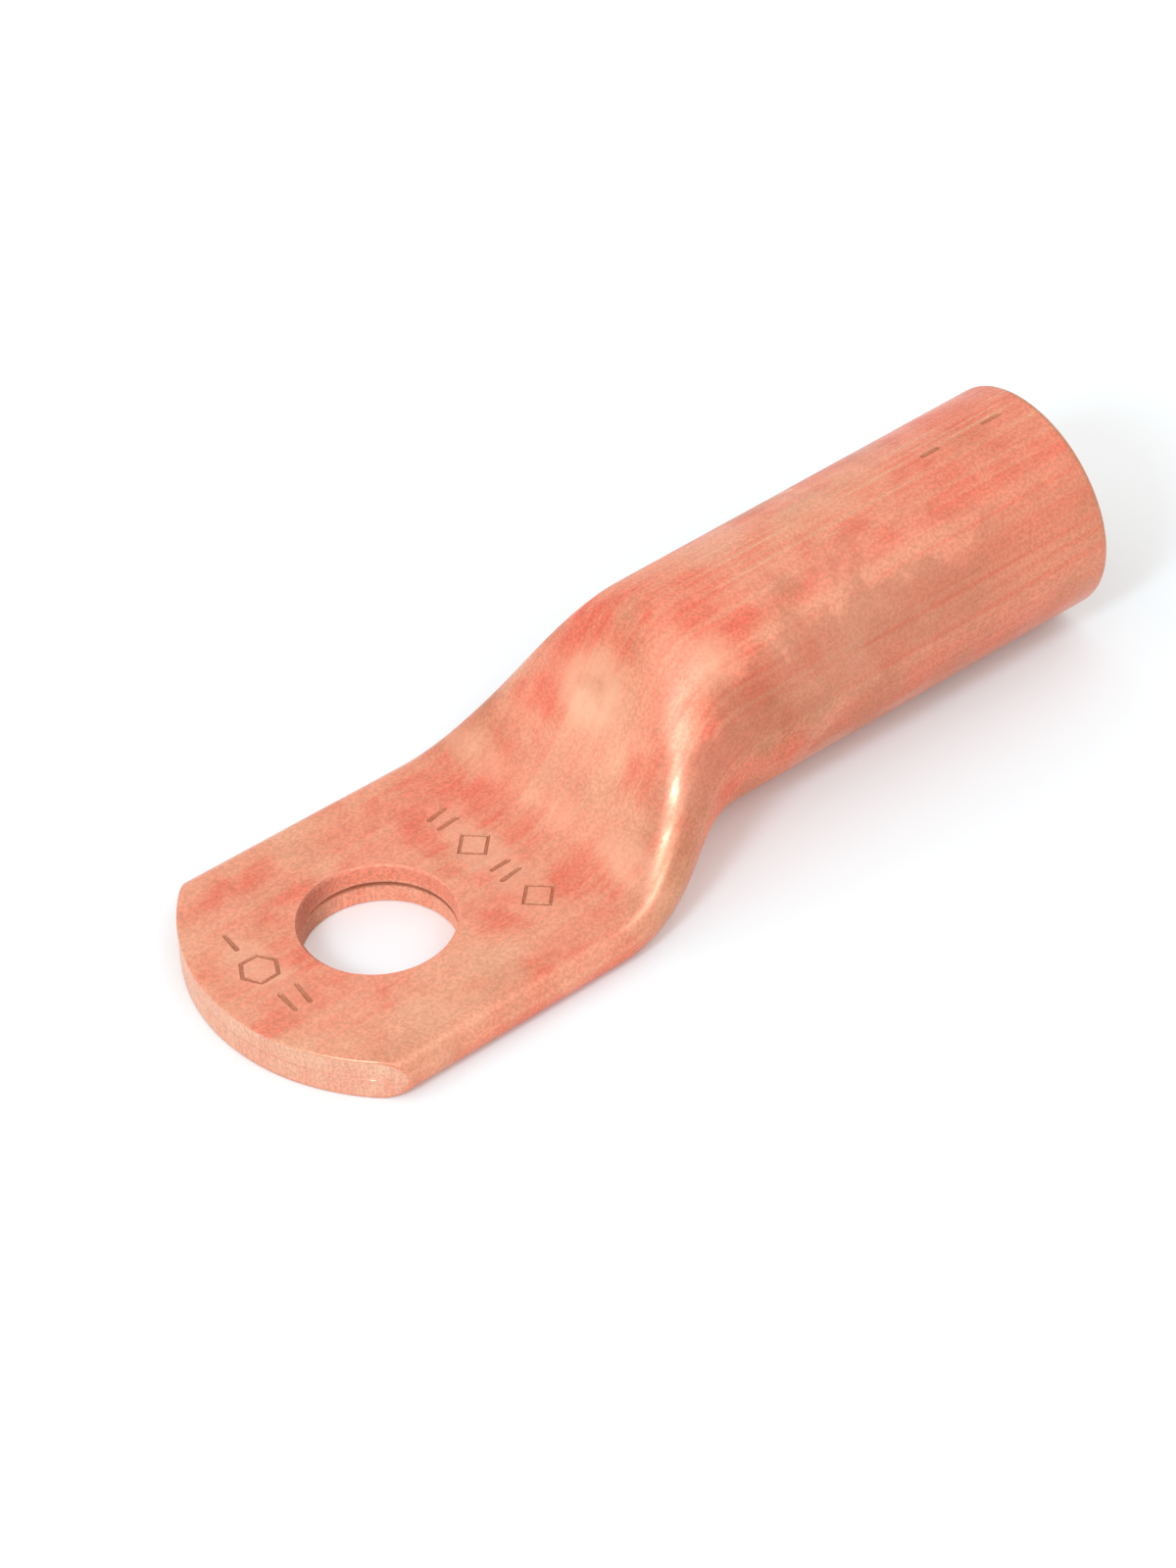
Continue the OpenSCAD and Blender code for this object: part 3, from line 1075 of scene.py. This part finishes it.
# %% Sheared, punched and stamped copper
cut_finish(finishes[SHEARED], (0.86, 0.45, 0.31, 1), (0.91, 0.58, 0.42, 1), rough=0.42)
cut_finish(
    # the brown is the joint's dirt and the painted shade on one side of the wall
    finishes[PUNCHED], (0.95, 0.51, 0.355, 1), (0.96, 0.57, 0.41, 1), rough=0.76,
    brown=(0.36, 0.14, 0.09, 1), joint_dirt_and_shade=0.62, skin_share=0.6,
)
cut_finish(finishes[STAMPED], (0.55, 0.19, 0.120, 1), (0.66, 0.28, 0.18, 1), rough=0.50, tarnish=0.35)
print("sheared, punched and stamped finishes done")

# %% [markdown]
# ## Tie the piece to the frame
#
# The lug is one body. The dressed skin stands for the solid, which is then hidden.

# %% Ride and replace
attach(lug, "root")
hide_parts("cable_lug")

# %% [markdown]
# ## The camera
#
# Small parts are shot from a distance with a long lens, so that the barrel doesn't look larger than
# the palm. The camera looks along the lug from the palm's end, from its right, and well above it.

# %% Camera
VIEW_TURN = 35.934        # degrees from straight along +Y, towards +X
VIEW_DOWN = 40.965        # degrees below level
VIEW_ROLL = 4.023         # degrees
VIEW_DISTANCE = 432.62    # millimetres, from the aim point
LENS, SENSOR = 151.85, 36.0
AIM = Vector((14.617, -4.249, 9.118))

turn, down = radians(VIEW_TURN), radians(VIEW_DOWN)
looking = Vector((sin(turn) * cos(down), cos(turn) * cos(down), -sin(down)))
camera = placed("camera", bpy.data.cameras.new("camera"))
camera.data.lens, camera.data.sensor_width = LENS, SENSOR
camera.location = (AIM - looking * VIEW_DISTANCE) * MM
camera.rotation_mode = "QUATERNION"
level_view = looking.to_track_quat("-Z", "Y")
camera.rotation_quaternion = level_view @ Quaternion((0, 0, 1), -radians(VIEW_ROLL))
camera.data.clip_start, camera.data.clip_end = 0.01, 10.0
bpy.context.scene.camera = camera
print("camera at", shown(camera.location))

# %% [markdown]
# ## Floor and light
#
# The lug lies on a plain pale table under a white sky of soft light. Bare metal shows what is round
# it, and all of that is white, so the copper shows its own colour. The table glows slightly, but
# only to the rays that see it: it stays near white, lights nothing and keeps the lug's shadow.

# %% White sky
SKY_STRENGTH = 1.0
world = bpy.data.worlds.new("white_surroundings")
bpy.context.scene.world = world
world.use_nodes = True
tree = world.node_tree
tree.nodes.clear()
background = lay_node(tree, "Background", {"Color": (1, 1, 1, 1), "Strength": SKY_STRENGTH})[0]
lay_node(tree, "OutputWorld", {"Surface": background})
print("sky strength", SKY_STRENGTH)


# %% Floor
def seen(tree):
    """1 for camera, glossy and transmission rays, and 0 for the rest."""
    path = lay_node(tree, "LightPath")
    return highest(tree, path["Is Camera Ray"], path["Is Glossy Ray"], path["Is Transmission Ray"])


FLOOR_HALF = 1.5          # metres
FLOOR_DROP = 0.00002      # metres under the lug, so that the two surfaces don't fight
FLOOR_GLOW = 0.04
floor_corners = [(x * FLOOR_HALF, y * FLOOR_HALF, 0) for x, y in ((-1, -1), (1, -1), (1, 1), (-1, 1))]
floor_mesh = bpy.data.meshes.new("floor")
floor_mesh.from_pydata(floor_corners, [], [(0, 1, 2, 3)])
floor = placed("floor", floor_mesh)
floor.location.z = cad_low.z - FLOOR_DROP
pale_table = bpy.data.materials.new("pale_table")
floor_mesh.materials.append(pale_table)
pale_table.use_nodes = True
tree = pale_table.node_tree
table = tree.nodes["Principled BSDF"].inputs
table["Base Color"].default_value = (0.84, 0.835, 0.825, 1)
table["Roughness"].default_value = 0.95
table["Specular IOR Level"].default_value = 0.1
table["Emission Color"].default_value = (1, 1, 1, 1)
feed(tree, times(tree, seen(tree), FLOOR_GLOW), table["Emission Strength"])
print("floor", 2 * FLOOR_HALF, "m across")

# %% [markdown]
# ### Lamps
#
# Soft strips add the highlights, each in the direction that its part of the copper mirrors to the
# camera. The first lights the ridge where the ramp folds into its side, the brightest line on the
# piece. The next two carry it on, weaker, over the crown. The last two lift the cut end and the
# bend at the ramp's foot. Copper swallows blue, so bluish lamps leave highlights nearly white.

# %% Place the lamps
LUG_MIDDLE = Vector((0.018, 0, 0.006))      # metres
LAMP_DISTANCE = 0.50                        # metres
RIDGE_BLUE = (0.60, 0.86, 1.0)
DAYLIGHT = (0.70, 0.89, 1.0)
WHITE = (1, 1, 1)
# name, directions that the strip spans, width in metres, watts, colour
LAMPS = (
    ("ridge_window", (-0.67, -0.26, 0.70), (-0.70, -0.38, 0.60), 0.12, 0.92, RIDGE_BLUE),
    ("fading_window", (-0.40, -0.62, 0.67), (0.05, -0.66, 0.75), 0.09, 0.24, DAYLIGHT),
    ("crown_window", (0.0, -0.60, 0.80), (0.26, -0.45, 0.85), 0.10, 0.10, DAYLIGHT),
    ("low_window", (-0.86, 0.48, 0.12), (-0.68, 0.72, 0.12), 0.08, 0.025, WHITE),
    ("foot_window", (-0.58, 0.54, 0.61), (-0.40, 0.68, 0.61), 0.08, 0.02, WHITE),
)
for name, start, end, width, watts, colour in LAMPS:
    start, end = Vector(start).normalized(), Vector(end).normalized()
    toward, along = (start + end).normalized(), (end - start).normalized()
    data = bpy.data.lights.new(name, "AREA")
    data.shape, data.energy, data.color = "RECTANGLE", watts, colour
    data.size, data.size_y = (end - start).length * LAMP_DISTANCE, width
    facing = Matrix((along, toward.cross(along), toward)).transposed().to_4x4()
    placed(name, data).matrix_world = Matrix.Translation(LUG_MIDDLE + toward * LAMP_DISTANCE) @ facing
print("lit by", [name for name, *_ in LAMPS])

# %% [markdown]
# ## The view transform
#
# Colours are shown through the Standard view transform.

# %% View transform
bpy.context.scene.view_settings.view_transform = "Standard"
